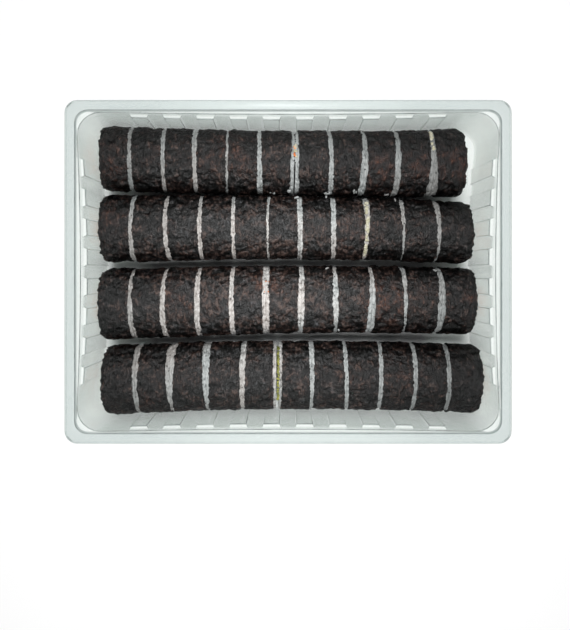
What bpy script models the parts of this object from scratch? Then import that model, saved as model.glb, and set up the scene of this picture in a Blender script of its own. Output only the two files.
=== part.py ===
"""Takeaway sushi tray: four rolls of maki, cut into slices, standing in a clear fluted tray.

The origin is under the middle of the tray, with +X along the rolls, +Y across them and +Z up.
Sizes are written in millimetres and become metres when a mesh is made.
"""

import math
import random
from collections import namedtuple

import bmesh
import bpy

MM = 0.001

# Tray: its outer size over the rim, and the sheet that it is formed from
TRAY_LENGTH = 230.0
TRAY_WIDTH = 177.0
TRAY_HEIGHT = 42.0
SHEET = 0.7

# Flutes: vertical ribs that stand in from the walls, below a small shoulder
LONG_WALL_RIBS = 10
LONG_WALL_PITCH = 17.2
SHORT_WALL_RIBS = 8
SHORT_WALL_PITCH = 15.4
RIB_FRONT = 8.2
RIB_FOOT = 9.8
RIB_DEPTH = 1.4

# Each wall bows in between its corners, because the sheet shrinks as it cools
LONG_WALL_BOW = 1.7
SHORT_WALL_BOW = 2.9
CORNER_STEPS = 6

# One line of the tray's section: how far in from the rim's edge, how high,
# the corner radius there, and the shares of the bow and of the rib depth
Line = namedtuple("Line", "inset height corner bow rib")
TRAY_SECTION = (
    Line(0.0, 38.6, 6.5, 0.0, 0.0),
    Line(0.5, 41.4, 6.5, 0.0, 0.0),
    Line(1.2, TRAY_HEIGHT, 6.4, 0.0, 0.0),
    Line(5.9, TRAY_HEIGHT, 6.4, 0.0, 0.0),
    Line(6.3, 39.9, 6.3, 0.0, 0.0),
    Line(6.5, 39.5, 12.0, 0.6, 0.0),
    Line(6.8, 37.3, 12.0, 1.0, 0.0),
    Line(6.9, 37.0, 12.0, 1.0, 1.0),
    Line(8.4, 4.5, 11.0, 1.0, 0.8),
    Line(9.3, 1.8, 10.5, 1.0, 0.4),
    Line(11.4, SHEET, 9.0, 1.0, 0.0),
)

# Rolls: the left end, then the centre line across the tray and the radius, each at the
# left end, the middle and the right end, then how far the cuts lean at both ends in degrees,
# the thickness of each slice, and the width of rice that shows at each cut between two
# slices, at the back, on top and at the front of the roll
Roll = namedtuple("Roll", "name left centre radius lean slices rice")
ROLLS = (
    Roll("roll_1", -98.9, (61.9, 59.2, 59.2), (17.5, 17.1, 18.5), (5.0, 0.0),
         (16.0, 17.5, 16.5, 17.0, 17.0, 18.5, 19.0, 17.5, 17.5, 18.5, 17.5),
         ((2.2, 2.2, 2.6), (2.3, 2.2, 2.2), (2.9, 2.4, 2.2), (1.4, 1.2, 1.4), (2.2, 2.5, 3.2),
          (3.6, 4.3, 5.0), (2.4, 2.5, 2.7), (2.3, 3.5, 3.7), (2.5, 3.2, 3.4), (2.6, 3.3, 5.7))),
    Roll("roll_2", -99.2, (23.3, 24.1, 21.3), (18.3, 17.0, 16.7), (0.0, 0.0),
         (17.0, 18.0, 18.0, 17.5, 18.0, 17.0, 17.5, 17.5, 19.0, 18.5, 18.5),
         ((2.4, 2.4, 2.8), (2.2, 2.4, 2.4), (1.8, 2.4, 2.2), (2.0, 2.2, 2.0), (1.8, 1.2, 1.2),
          (2.9, 2.7, 2.7), (2.7, 2.8, 2.5), (3.6, 2.4, 2.2), (2.3, 1.6, 1.0), (3.2, 2.4, 1.5))),
    Roll("roll_3", -99.6, (-18.1, -15.0, -16.2), (19.3, 18.2, 18.0), (0.0, 0.0),
         (17.0, 17.0, 18.0, 18.0, 18.0, 18.5, 18.0, 19.0, 17.5, 19.0, 18.5),
         ((1.6, 2.5, 3.1), (2.1, 2.9, 3.1), (2.5, 3.1, 3.0), (2.4, 2.7, 2.9), (3.8, 3.8, 3.7),
          (2.8, 3.5, 3.1), (2.4, 3.1, 2.3), (2.2, 3.6, 3.9), (2.7, 1.9, 1.4), (2.8, 4.1, 3.6))),
    Roll("roll_4", -98.0, (-58.7, -56.2, -58.2), (18.5, 18.2, 18.4), (0.0, 0.0),
         (18.0, 18.0, 19.0, 19.0, 18.5, 18.0, 18.0, 18.0, 18.0, 17.5, 18.0),
         ((3.2, 2.7, 2.5), (4.8, 3.9, 1.8), (4.1, 3.4, 2.1), (3.2, 3.1, 2.3), (5.0, 4.8, 4.2),
          (2.7, 2.4, 1.9), (2.2, 2.2, 2.1), (2.2, 2.4, 2.2), (2.3, 2.5, 2.2), (2.4, 2.4, 2.2))),
)

# Slices: number of sides, half the height that the rolling mat gives every roll, the gap
# that keeps neighbours apart, how far the rice rim stands in from the nori, the rice that
# shows at a roll's end and at least, and how far across the roll, as a share of its radius,
# the back and front widths of the rice are given and still hold
SLICE_SIDES = 20
ROLL_HALF_HEIGHT = 17.5
FLAT_BOTTOM = 0.96
GAP = 0.35
RICE_STEP = 0.6
END_SHOW = 0.5
SMALLEST_SHOW = 0.3
WIDTHS_AT = 0.75
WIDTHS_HOLD = 0.85

# Unevenness of hand-cut slices
CUT_TURN = 1.5
SIDEWAYS = 0.2
FATNESS = 0.008
SEED = 11

# Linear colours
PLASTIC_COLOUR = (0.56, 0.62, 0.60, 1.0)
NORI_COLOUR = (0.018, 0.017, 0.016, 1.0)
RICE_COLOUR = (0.64, 0.63, 0.59, 1.0)


def clear_scene():
    """Remove every object, so that the script gives the same scene each time."""
    for scene_object in list(bpy.data.objects):
        bpy.data.objects.remove(scene_object, do_unlink=True)


def principled(name, colour, roughness, alpha=1.0):
    """A plain material with the part's own colour and roughness."""
    material = bpy.data.materials.new(name)
    material.use_nodes = True
    shader = material.node_tree.nodes["Principled BSDF"]
    shader.inputs["Base Color"].default_value = colour
    shader.inputs["Roughness"].default_value = roughness
    shader.inputs["Metallic"].default_value = 0.0
    shader.inputs["Alpha"].default_value = alpha
    material.diffuse_color = colour
    return material


def loft(bm, rings):
    """Join rings of equally many points by quads, and return the rings' vertices."""
    rows = [[bm.verts.new([c * MM for c in point]) for point in ring] for ring in rings]
    for row, following in zip(rows, rows[1:]):
        for i in range(len(row)):
            j = (i + 1) % len(row)
            bm.faces.new((row[i], row[j], following[j], following[i]))
    return rows


def finish_object(name, bm, materials, place=(0.0, 0.0, 0.0)):
    """Turn the bmesh into a smooth-shaded object, with sharp edges kept where it folds."""
    bmesh.ops.recalc_face_normals(bm, faces=bm.faces)
    mesh = bpy.data.meshes.new(name)
    bm.to_mesh(mesh)
    bm.free()
    for material in materials:
        mesh.materials.append(material)
    mesh.shade_smooth()
    mesh.set_sharp_from_angle(angle=math.radians(35.0))
    piece = bpy.data.objects.new(name, mesh)
    piece.location = [c * MM for c in place]
    bpy.context.collection.objects.link(piece)
    return piece


# The tray

def wall_points(half, corner, ribs, pitch, bow, rib_depth):
    """Points along one wall as (along, inwards), with two feet and two fronts for each rib."""
    straight = half - corner
    for k in range(ribs):
        middle = (k - (ribs - 1) / 2) * pitch
        for along, depth in ((middle - RIB_FOOT / 2, 0.0), (middle - RIB_FRONT / 2, rib_depth),
                             (middle + RIB_FRONT / 2, rib_depth), (middle + RIB_FOOT / 2, 0.0)):
            yield along, depth + bow * (1.0 - (along / straight) ** 2)


def tray_ring(line):
    """The outline of the tray at one line of its section, anticlockwise from the right wall."""
    half_length = TRAY_LENGTH / 2 - line.inset
    half_width = TRAY_WIDTH / 2 - line.inset
    rib_depth = RIB_DEPTH * line.rib
    short_wall = list(wall_points(half_width, line.corner, SHORT_WALL_RIBS, SHORT_WALL_PITCH,
                                  SHORT_WALL_BOW * line.bow, rib_depth))
    long_wall = list(wall_points(half_length, line.corner, LONG_WALL_RIBS, LONG_WALL_PITCH,
                                 LONG_WALL_BOW * line.bow, rib_depth))
    points = []
    for turn, walls in enumerate((short_wall, long_wall, short_wall, long_wall)):
        out = half_width if turn % 2 else half_length
        side = half_length if turn % 2 else half_width
        outline = [(out - inwards, along) for along, inwards in walls]
        for step in range(CORNER_STEPS + 1):
            angle = math.radians(90.0) * step / CORNER_STEPS
            outline.append((out - line.corner * (1.0 - math.cos(angle)),
                            side - line.corner * (1.0 - math.sin(angle))))
        cosine, sine = ((1, 0), (0, 1), (-1, 0), (0, -1))[turn]
        points += [(x * cosine - y * sine, x * sine + y * cosine, line.height)
                   for x, y in outline]
    return points


def under_side(section, thickness):
    """The section's other skin, one sheet thickness outwards and down from the first."""
    lines = []
    for i, line in enumerate(section):
        before = section[max(i - 1, 0)]
        after = section[min(i + 1, len(section) - 1)]
        steps = [(b.inset - a.inset, b.height - a.height)
                 for a, b in ((before, line), (line, after)) if a is not b]
        normals = [(-dz / math.hypot(dx, dz), dx / math.hypot(dx, dz)) for dx, dz in steps]
        out = sum(n[0] for n in normals) / len(normals)
        up = sum(n[1] for n in normals) / len(normals)
        reach = thickness / (out * out + up * up)
        lines.append(line._replace(inset=line.inset + out * -reach,
                                   height=line.height - up * reach,
                                   corner=line.corner + out * reach))
    return lines


def make_tray(plastic):
    """The tray as one closed sheet: down its upper skin, and back up its under side."""
    upper = list(TRAY_SECTION)
    lower = under_side(upper, SHEET)
    lower[0] = lower[0]._replace(height=upper[0].height)
    lower[-1] = lower[-1]._replace(height=0.0)
    bm = bmesh.new()
    rows = loft(bm, [tray_ring(line) for line in upper[::-1] + lower])
    bm.faces.new(rows[0])
    bm.faces.new(rows[-1])
    return finish_object("tray", bm, [plastic])


# The rolls

def between(values, x, start, end):
    """A value given at a start, half-way and at an end, read off at x."""
    first, middle, last = values
    t = (2.0 * x - start - end) / (end - start)
    return middle + t * (last - first) / 2 + t * t * ((first + last) / 2 - middle)


class Cut:
    """One knife cut: a plane from x on the roll's top, and the widths of rice it lays bare."""

    def __init__(self, x, lean, widths, rng):
        self.x = x
        self.lean = math.tan(math.radians(lean + rng.uniform(-CUT_TURN, CUT_TURN)))
        self.turn = math.tan(math.radians(rng.uniform(-CUT_TURN, CUT_TURN)))
        self.widths = widths

    def plane(self, across, up):
        """Where the plane is along the roll, at a point across and up from the roll's middle."""
        return self.x + self.turn * across + self.lean * (up - ROLL_HALF_HEIGHT)

    def bare_rice(self, angle):
        """How far the nori stands back from the plane at an angle round the roll."""
        across = min(max(math.cos(angle), -WIDTHS_HOLD), WIDTHS_HOLD)
        return max(SMALLEST_SHOW, between(self.widths, across, WIDTHS_AT, -WIDTHS_AT))


def slice_rings(roll, right, first, last, sideways, fatness):
    """Four rings of one slice: rice rim, nori edge, nori edge, rice rim."""
    rings = []
    for cut, side, has_nori in ((first, 1, False), (first, 1, True),
                                (last, -1, True), (last, -1, False)):
        centre = between(roll.centre, cut.x, roll.left, right) + sideways
        radius = between(roll.radius, cut.x, roll.left, right) * fatness
        half_height = ROLL_HALF_HEIGHT * fatness
        lowest = -FLAT_BOTTOM * half_height
        step = 0.0 if has_nori else RICE_STEP
        ring = []
        for i in range(SLICE_SIDES):
            angle = math.tau * i / SLICE_SIDES
            across = (radius - step) * math.cos(angle)
            up = max((half_height - step) * math.sin(angle), lowest)
            x = cut.plane(across, up) + side * GAP / 2
            if has_nori:
                x += side * cut.bare_rice(angle)
            ring.append((x, centre + across, SHEET + GAP - lowest + up))
        rings.append(ring)
    return rings


def make_slice(name, rings, nori, rice):
    """One closed slice, with its nori band and its two cut faces of rice."""
    points = [point for ring in rings for point in ring]
    middle = [sum(p[axis] for p in points) / len(points) for axis in range(3)]
    local = [[[c - m for c, m in zip(point, middle)] for point in ring] for ring in rings]
    bm = bmesh.new()
    rows = loft(bm, local)
    for row in (rows[0], rows[-1]):
        bm.faces.new(row)
    for face in bm.faces:
        face.material_index = 1
    for vert in rows[1]:
        for face in vert.link_faces:
            if all(v in rows[1] or v in rows[2] for v in face.verts):
                face.material_index = 0
    return finish_object(name, bm, [nori, rice], middle)


def make_roll(roll, rng, nori, rice, holder):
    """All the slices of one roll, parented to an empty that stands for the roll."""
    right = roll.left + sum(roll.slices)
    ends = (END_SHOW, END_SHOW, END_SHOW)
    cuts = [Cut(roll.left, roll.lean[0], ends, rng)]
    x = roll.left
    for thickness, widths in zip(roll.slices, roll.rice):
        x += thickness
        share = (x - roll.left) / (right - roll.left)
        lean = roll.lean[0] + (roll.lean[1] - roll.lean[0]) * share
        cuts.append(Cut(x, lean, [(width - GAP) / 2 for width in widths], rng))
    cuts.append(Cut(right, roll.lean[1], ends, rng))
    for k, (first, last) in enumerate(zip(cuts, cuts[1:]), start=1):
        sideways = rng.uniform(-SIDEWAYS, SIDEWAYS)
        fatness = 1.0 + rng.uniform(-FATNESS, FATNESS)
        rings = slice_rings(roll, right, first, last, sideways, fatness)
        piece = make_slice(f"{roll.name}_slice_{k:02d}", rings, nori, rice)
        piece.parent = holder


def main():
    clear_scene()
    plastic = principled("clear_tray_plastic", PLASTIC_COLOUR, 0.25, alpha=0.45)
    nori = principled("toasted_nori", NORI_COLOUR, 0.6)
    rice = principled("cooked_rice", RICE_COLOUR, 0.5)
    make_tray(plastic)
    rng = random.Random(SEED)
    for roll in ROLLS:
        holder = bpy.data.objects.new(roll.name, None)
        bpy.context.collection.objects.link(holder)
        make_roll(roll, rng, nori, rice, holder)


main()
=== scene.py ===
# %% [markdown]
# # Takeaway sushi tray
#
# A clear, fluted plastic tray holds four rolls of maki side by side. Each roll is cut into
# slices that still stand together, so from above the nori shows as dark bands, with a thin
# strip of rice at every cut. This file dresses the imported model: a finer tray, a wrinkled nori
# band round each slice, rice with real grains, and the chopped filling that the cut ends show.
#
# Everything is in metres, with +X along the rolls, +Y across them and +Z up.

# %% Load the model
import math

import bmesh
import bpy
import numpy as np
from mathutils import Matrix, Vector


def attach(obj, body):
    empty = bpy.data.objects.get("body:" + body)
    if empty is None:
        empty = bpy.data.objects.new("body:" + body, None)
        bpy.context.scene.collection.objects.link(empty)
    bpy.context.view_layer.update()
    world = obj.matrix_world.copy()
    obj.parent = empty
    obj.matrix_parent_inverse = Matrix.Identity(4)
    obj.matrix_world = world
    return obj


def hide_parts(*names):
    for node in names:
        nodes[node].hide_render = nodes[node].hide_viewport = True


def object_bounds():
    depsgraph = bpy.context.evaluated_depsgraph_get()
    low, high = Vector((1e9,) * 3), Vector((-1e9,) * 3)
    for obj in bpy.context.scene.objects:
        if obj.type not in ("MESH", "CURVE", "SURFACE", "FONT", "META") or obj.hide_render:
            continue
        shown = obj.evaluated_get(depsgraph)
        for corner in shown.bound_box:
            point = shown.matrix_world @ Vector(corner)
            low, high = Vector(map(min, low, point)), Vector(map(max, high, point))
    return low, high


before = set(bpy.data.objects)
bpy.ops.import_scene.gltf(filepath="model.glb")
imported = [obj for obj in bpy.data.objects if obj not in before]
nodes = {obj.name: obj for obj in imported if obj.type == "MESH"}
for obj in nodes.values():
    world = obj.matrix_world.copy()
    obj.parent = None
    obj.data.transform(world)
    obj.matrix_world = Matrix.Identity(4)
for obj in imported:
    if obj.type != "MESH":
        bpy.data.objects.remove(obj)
cad_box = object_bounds()
MM = 0.001

bpy.ops.object.select_all(action="DESELECT")
slice_names = sorted(name for name in nodes if "slice" in name)
print(len(slice_names), "slices and a tray")

# %% [markdown]
# ## Camera, floor and light
#
# The reference view looks straight down over the middle of the tray. In a picture that is
# taller than it is wide, Blender's sensor width belongs to the tall side. The lens and the height
# were worked out from how much larger the rim looks than the floor, and the small shift puts
# the tray above the middle of the picture.

# %% Camera
IMAGE_HEIGHT_PX = 630
CAMERA_HEIGHT = 396 * MM
LENS_MM = 39.6
TRAY_RIGHT_PX = 3.1
TRAY_ABOVE_PX = 43.2

bpy.ops.object.camera_add(location=(0, 0, CAMERA_HEIGHT), rotation=(0, 0, 0))
camera = bpy.context.object
camera.name = "camera"
camera.data.lens = LENS_MM
camera.data.sensor_width = 36
camera.data.shift_x = -TRAY_RIGHT_PX / IMAGE_HEIGHT_PX
camera.data.shift_y = -TRAY_ABOVE_PX / IMAGE_HEIGHT_PX
camera.data.clip_start = 10 * MM
bpy.context.scene.camera = camera
print("camera at", [round(c, 3) for c in camera.location])

# %% [markdown]
# Small functions for colours, materials and nodes save a lot of repetition.

# %% Helpers for materials
def linear(hex_colour):
    """An sRGB colour such as #C1CCC9 as linear red, green, blue and an alpha of 1."""
    channels = [int(hex_colour[i:i + 2], 16) / 255 for i in (1, 3, 5)]
    return [c / 12.92 if c <= 0.04045 else ((c + 0.055) / 1.055) ** 2.4
            for c in channels] + [1.0]


def shader_input(mat, socket):
    return mat.node_tree.nodes["Principled BSDF"].inputs[socket]


def new_material(name, **settings):
    """A material with one Principled shader, whose own sockets take the settings."""
    mat = bpy.data.materials.new(name)
    mat.use_nodes = True
    for socket, value in settings.items():
        shader_input(mat, socket.replace("_", " ")).default_value = value
    return mat


def add_node(mat, kind, links=None, **settings):
    """Add a node, set its properties or inputs by name, and link its inputs by name or number."""
    node = mat.node_tree.nodes.new(kind)
    for name, value in settings.items():
        if hasattr(node, name):
            setattr(node, name, value)
        else:
            node.inputs[name.replace("_", " ")].default_value = value
    for socket, source in (links or {}).items():
        mat.node_tree.links.new(source, node.inputs[socket])
    return node


def link(mat, source, socket):
    """Join an output to an input of the material's shader."""
    mat.node_tree.links.new(source, shader_input(mat, socket))


# %% Floor and lights
SOFTBOXES = {"softbox_back": 0.22, "softbox_front": -0.22}
SOFTBOX_HEIGHT = 0.6
SOFTBOX_WATTS = 1.6
SOFTBOX_SIZE = 0.3
SPOT_BACK = 0.2
SPOT_HEIGHT = 0.8
SPOT_WATTS = 9
SPOT_RADIUS = 0.1
WORLD_STRENGTH = 0.45

bpy.ops.mesh.primitive_plane_add(size=6, location=(0, 0, -0.2 * MM))
floor = bpy.context.object
floor.name = "floor"
floor_material = new_material("white_studio_floor", Base_Color=linear("#FCFCFC"), Roughness=0.9)
floor.data.materials.append(floor_material)

world = bpy.data.worlds.new("studio")
world.use_nodes = True
background = world.node_tree.nodes["Background"]
background.inputs["Color"].default_value = linear("#FFFFFF")
background.inputs["Strength"].default_value = WORLD_STRENGTH
bpy.context.scene.world = world
bpy.context.scene.view_settings.view_transform = "Standard"


def add_light(kind, name, back, height, watts):
    """A light that faces the middle of the tray, from above and further back or in front."""
    bpy.ops.object.light_add(type=kind, location=(0, back, height),
                             rotation=(-math.atan2(back, height), 0, 0))
    bpy.context.object.name = name
    light = bpy.context.object.data
    light.energy = watts
    return light


for name, back in SOFTBOXES.items():
    add_light("AREA", name, back, SOFTBOX_HEIGHT, SOFTBOX_WATTS).size = SOFTBOX_SIZE
middle_spot = add_light("SPOT", "middle_spot", SPOT_BACK, SPOT_HEIGHT, SPOT_WATTS)
middle_spot.spot_size = 2 * math.atan(SPOT_RADIUS / SPOT_HEIGHT)
middle_spot.spot_blend = 1.0
middle_spot.shadow_soft_size = 0.05
print("floor, world, two softboxes and a soft spot on the middle")

# %% [markdown]
# ## Reading the slices
#
# Every slice in the model is a ring of twenty spokes with four points each: the rim of the rice at
# one cut, the edge of the nori, the other edge of the nori, and the rim of the rice at the
# other cut. Reading those points back lets every dressed piece follow its own slice.

# %% Read the rings of every slice
SLICE_SIDES = 20
FLAT_BOTTOM = 0.96


def read_rings(name):
    """The slice's four rings of points, as an array of 4 by 20 points, and the slice's middle."""
    points = np.unique(np.array([v.co for v in nodes[name].data.vertices]), axis=0)
    low, high = points.min(axis=0), points.max(axis=0)
    middle = (low + high) / 2
    middle[2] = high[2] - (high[2] - low[2]) / (1 + FLAT_BOTTOM)
    angles = np.arctan2(points[:, 2] - middle[2], points[:, 1] - middle[1])
    spokes = np.round(angles / math.tau * SLICE_SIDES).astype(int) % SLICE_SIDES
    rings = np.zeros((4, SLICE_SIDES, 3))
    for spoke in range(SLICE_SIDES):
        along = points[spokes == spoke]
        rings[:, spoke] = along[np.argsort(along[:, 0])]
    return rings, middle


slices = {name: read_rings(name) for name in slice_names}
widths = [1000 * (rings[3, :, 0].mean() - rings[0, :, 0].mean()) for rings, _ in slices.values()]
print(f"slices are {min(widths):.1f} to {max(widths):.1f} mm thick")


def around(ring, angles):
    """Points of a closed ring at any angles, on a smooth curve through the ring's own points."""
    place = angles / math.tau * SLICE_SIDES % SLICE_SIDES
    index = np.floor(place).astype(int)
    t = (place - index)[:, None]
    a, b, c, d = (ring[(index + k) % SLICE_SIDES] for k in (-1, 0, 1, 2))
    return b + 0.5 * t * (c - a + t * (2 * a - 5 * b + 4 * c - d + t * (3 * (b - c) + d - a)))


def polar(points, middle):
    """Angle round the roll's axis and distance from it."""
    across, up = points[:, 1] - middle[1], points[:, 2] - middle[2]
    return np.arctan2(up, across) % math.tau, np.hypot(across, up)


# %% [markdown]
# The knife cuts are flat, so each face of a slice lies in a plane. The model leaves a third of a
# millimetre between two slices. Here the rice fills nearly all of that, because in the real box
# the cut faces still stick together. Two cuts stand open, one of them only towards the front.
# At the ends of the rolls the nori is squeezed in a little, so their corners are round.

# %% Knife planes
MODEL_GAP = 0.35 * MM
CLOSE_GAP = 0.03 * MM
# cut: (how wide it stands open, in front of which line across the tray)
OPEN_CUTS = {"1_06": (0.7 * MM, 59 * MM), "4_05": (1.3 * MM, 0.0)}
OPENING_LENGTH = 4 * MM
END_SQUEEZE = 1.2 * MM
SQUEEZE_LENGTH = 2.0 * MM
# face: which way along X leads into the slice
INWARD = {"left": 1, "right": -1}


def knife_plane(ring):
    """The numbers a, b and c of the plane x = a + b y + c z through a rim."""
    sides = np.column_stack([np.ones(len(ring)), ring[:, 1], ring[:, 2]])
    return np.linalg.lstsq(sides, ring[:, 0], rcond=None)[0]


def face_x(name, face, points):
    """Where a face of the slice lies along the roll, at the points' heights and sides."""
    rings, _ = slices[name]
    a, b, c = knife_plane(rings[0] if face == "left" else rings[3])
    cut = f"{name[5]}_{int(name[-2:]) - (face == 'left'):02d}"
    open_gap, opens = OPEN_CUTS.get(cut, (CLOSE_GAP, 0.0))
    how_open = np.clip((opens - points[:, 1]) / OPENING_LENGTH, 0, 1)
    gap = CLOSE_GAP + (open_gap - CLOSE_GAP) * how_open
    return a + b * points[:, 1] + c * points[:, 2] - INWARD[face] * (MODEL_GAP - gap) / 2


def is_row_end(name, face):
    return (name[-2:], face) in (("01", "left"), ("11", "right"))


def squeezed_by(name, points):
    """How far each point is drawn towards the axis of its roll, near the roll's ends."""
    squeeze = np.zeros(len(points))
    for face in INWARD:
        if is_row_end(name, face):
            distance = np.abs(points[:, 0] - face_x(name, face, points))
            squeeze += END_SQUEEZE * np.exp(-(distance / SQUEEZE_LENGTH) ** 2)
    return squeeze

# %% [markdown]
# ## Helpers for modelling
#
# Operators act on whatever is selected, so each piece starts from a clean selection. A finished
# piece has its place in its mesh and its object at the origin, so that patterns stay put.

# %% Helpers for modelling
def start_piece(name):
    """Name the object that an operator has just added."""
    piece = bpy.context.object
    piece.name = name
    piece.data.name = name
    return piece


def select_only(piece):
    bpy.ops.object.select_all(action="DESELECT")
    piece.select_set(True)
    bpy.context.view_layer.objects.active = piece


def pick(piece, kind, test):
    """In edit mode, select the verts, edges or faces that pass the test."""
    bpy.ops.mesh.select_mode(type={"verts": "VERT", "edges": "EDGE", "faces": "FACE"}[kind])
    bpy.ops.mesh.select_all(action="DESELECT")
    mesh = bmesh.from_edit_mesh(piece.data)
    for part in getattr(mesh, kind):
        if test(part):
            part.select_set(True)
    mesh.select_flush_mode()
    bmesh.update_edit_mesh(piece.data)


def read_points(piece):
    flat = np.zeros(len(piece.data.vertices) * 3)
    piece.data.vertices.foreach_get("co", flat)
    return flat.reshape(-1, 3)


def write_points(piece, points):
    piece.data.vertices.foreach_set("co", points.ravel())
    piece.data.update()


def copy_piece(master, name):
    """A copy with its own mesh."""
    piece = master.copy()
    piece.data = master.data.copy()
    piece.name = name
    piece.data.name = name
    bpy.context.collection.objects.link(piece)
    return piece


def apply_modifiers(piece):
    select_only(piece)
    for modifier in list(piece.modifiers):
        bpy.ops.object.modifier_apply(modifier=modifier.name)


def finish_piece(piece, material, replaced=()):
    """Give the piece its material and its body, and hide the parts of the model that it replaces.
    """
    piece.data.materials.clear()
    piece.data.materials.append(material)
    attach(piece, "root")
    if replaced:
        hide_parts(*replaced)


# %% [markdown]
# Lumps and creases are pressed into a mesh by displacement, from procedural textures.

# %% Displacement
def texture(name, kind, size, **settings):
    """A procedural texture for displacement, with features of about the size in millimetres."""
    made = bpy.data.textures.new(name, kind)
    made.noise_scale = size * MM
    for key, value in settings.items():
        setattr(made, key, value)
    return made


def displace(piece, made, depth, level=0.5, group=""):
    """Push the surface in and out by a texture, by at most about the depth in millimetres."""
    modifier = piece.modifiers.new(made.name, "DISPLACE")
    modifier.texture = made
    modifier.strength = depth * MM
    modifier.mid_level = level
    modifier.vertex_group = group


# %% [markdown]
# ## Patterns
#
# Most of the finishes need noise of a known size, sums and products of patterns, ramps and mixes
# of colours, and bumps.

# %% Helpers for patterns
def noise_of(mat, size, detail=3.0, roughness=0.55, stretch=(1, 1, 1), kind="FBM"):
    """Noise on object coordinates, with features of about the size in millimetres."""
    coordinates = add_node(mat, "ShaderNodeTexCoord")
    mapping = add_node(mat, "ShaderNodeMapping", {"Vector": coordinates.outputs["Object"]},
                       Scale=stretch)
    pattern = add_node(mat, "ShaderNodeTexNoise", {"Vector": mapping.outputs["Vector"]},
                       noise_type=kind, Scale=1 / (size * MM), Detail=detail, Roughness=roughness)
    return pattern.outputs["Fac"]


def sum_of(mat, *parts):
    """The sum of some outputs, each times its weight."""
    total = None
    for output, weight in parts:
        node = add_node(mat, "ShaderNodeMath", {0: output}, operation="MULTIPLY_ADD")
        node.inputs[1].default_value = weight
        node.inputs[2].default_value = 0.0
        if total:
            mat.node_tree.links.new(total, node.inputs[2])
        total = node.outputs["Value"]
    return total


def ramp_of(mat, factor, *stops):
    """The colour from a ramp with (place, hex colour) stops."""
    node = add_node(mat, "ShaderNodeValToRGB", {"Fac": factor})
    elements = node.color_ramp.elements
    while len(elements) < len(stops):
        elements.new(0.5)
    for element, (place, colour) in zip(elements, stops):
        element.position = place
        element.color = linear(colour)
    return node.outputs["Color"]


def mix_of(mat, factor, first, second):
    """Mix two colours, each an output or a hex colour, by a factor."""
    node = add_node(mat, "ShaderNodeMix", {0: factor}, data_type="RGBA")
    for socket, source in ((6, first), (7, second)):
        if isinstance(source, str):
            node.inputs[socket].default_value = linear(source)
        else:
            mat.node_tree.links.new(source, node.inputs[socket])
    return node.outputs[2]


def range_of(mat, value, low, high, to_low=0.0, to_high=1.0):
    """A value stretched from one range onto another, and held there."""
    return add_node(mat, "ShaderNodeMapRange", {"Value": value}, From_Min=low,
                    From_Max=high, To_Min=to_low, To_Max=to_high).outputs["Result"]


def product_of(mat, first, second, **settings):
    return add_node(mat, "ShaderNodeMath", {0: first, 1: second}, operation="MULTIPLY",
                    **settings).outputs["Value"]


def bump_of(mat, height, strength, distance, **links):
    """The normal of a surface made bumpy by a pattern, by a distance in millimetres."""
    return add_node(mat, "ShaderNodeBump", {"Height": height, **links}, Strength=strength,
                    Distance=distance * MM).outputs["Normal"]


def painted(mat, name):
    """What was painted on the points of a piece."""
    return add_node(mat, "ShaderNodeAttribute", attribute_name=name).outputs["Fac"]


def place_along(mat, axis):
    """Where the surface lies along an axis, in metres."""
    place = add_node(mat, "ShaderNodeTexCoord").outputs["Object"]
    return add_node(mat, "ShaderNodeSeparateXYZ", {"Vector": place}).outputs[axis]


def edge_on(mat):
    """0 where the surface is seen face-on, 1 where it is edge-on."""
    return add_node(mat, "ShaderNodeLayerWeight", Blend=0.5).outputs["Facing"]


# %% [markdown]
# ## The tray
#
# The real tray is clear PET sheet, drawn by vacuum over a mould, and its edges are rounded by
# the sheet's own thickness. The model's tray has the right form, so a copy of it is merged into
# one mesh and its edges are rounded with a narrow bevel.
#
# The bevel is cut in two turns, because the bends don't look the same. Where the sheet folds
# outwards over the mould it works as a small lens and draws a thin dark line, so those edges come
# first and their bevels get a darker finish of their own, a painted dark line that stands in for
# that lens. The others are only rounded. Clamping is off: it would take the narrowest face of the
# whole tray as the limit for every edge.

# %% Tray
BEND_WIDTH = 0.27 * MM
SHARP_BEND = math.radians(28)
RIM_CURL = 2.2 * MM
INNER_NORMAL = 0.3
SHEET_FINISH, BEND_FINISH = 0, 1

tray = copy_piece(nodes["tray"], "tray_sheet")
tray.parent = None
tray.data.materials.clear()
tray.data.materials.append(None)
tray.data.materials.append(None)
select_only(tray)
bpy.ops.object.mode_set(mode="EDIT")
bpy.ops.mesh.select_all(action="SELECT")
bpy.ops.mesh.remove_doubles(threshold=0.01 * MM)
bpy.ops.mesh.tris_convert_to_quads(face_threshold=0.2, shape_threshold=1.2)
curl_starts = np.array(cad_box[1])[:2] - RIM_CURL


def folds_outwards(edge):
    """Whether an edge of the inner skin stands proud of its two faces."""
    middle = (edge.verts[0].co + edge.verts[1].co) / 2
    on_curl = abs(middle.x) > curl_starts[0] or abs(middle.y) > curl_starts[1]
    both = sum((face.normal for face in edge.link_faces), middle * 0)
    to_middle = both.x * middle.x + both.y * middle.y < 0
    inner = both.z > INNER_NORMAL or both.z > -INNER_NORMAL and to_middle
    return inner and not on_curl and edge.calc_face_angle_signed(0) > SHARP_BEND


def still_sharp(edge):
    on_bend = any(face.material_index == BEND_FINISH for face in edge.link_faces)
    return not on_bend and edge.calc_face_angle(0) > SHARP_BEND


pick(tray, "edges", folds_outwards)
bpy.ops.mesh.bevel(offset=BEND_WIDTH, segments=3, affect="EDGES", clamp_overlap=False,
                   material=BEND_FINISH)
pick(tray, "edges", still_sharp)
bpy.ops.mesh.bevel(offset=BEND_WIDTH, segments=2, affect="EDGES", clamp_overlap=False)
bpy.ops.object.mode_set(mode="OBJECT")
bpy.ops.object.shade_smooth_by_angle(angle=math.radians(40))
print("tray has", len(tray.data.polygons), "faces")
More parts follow.
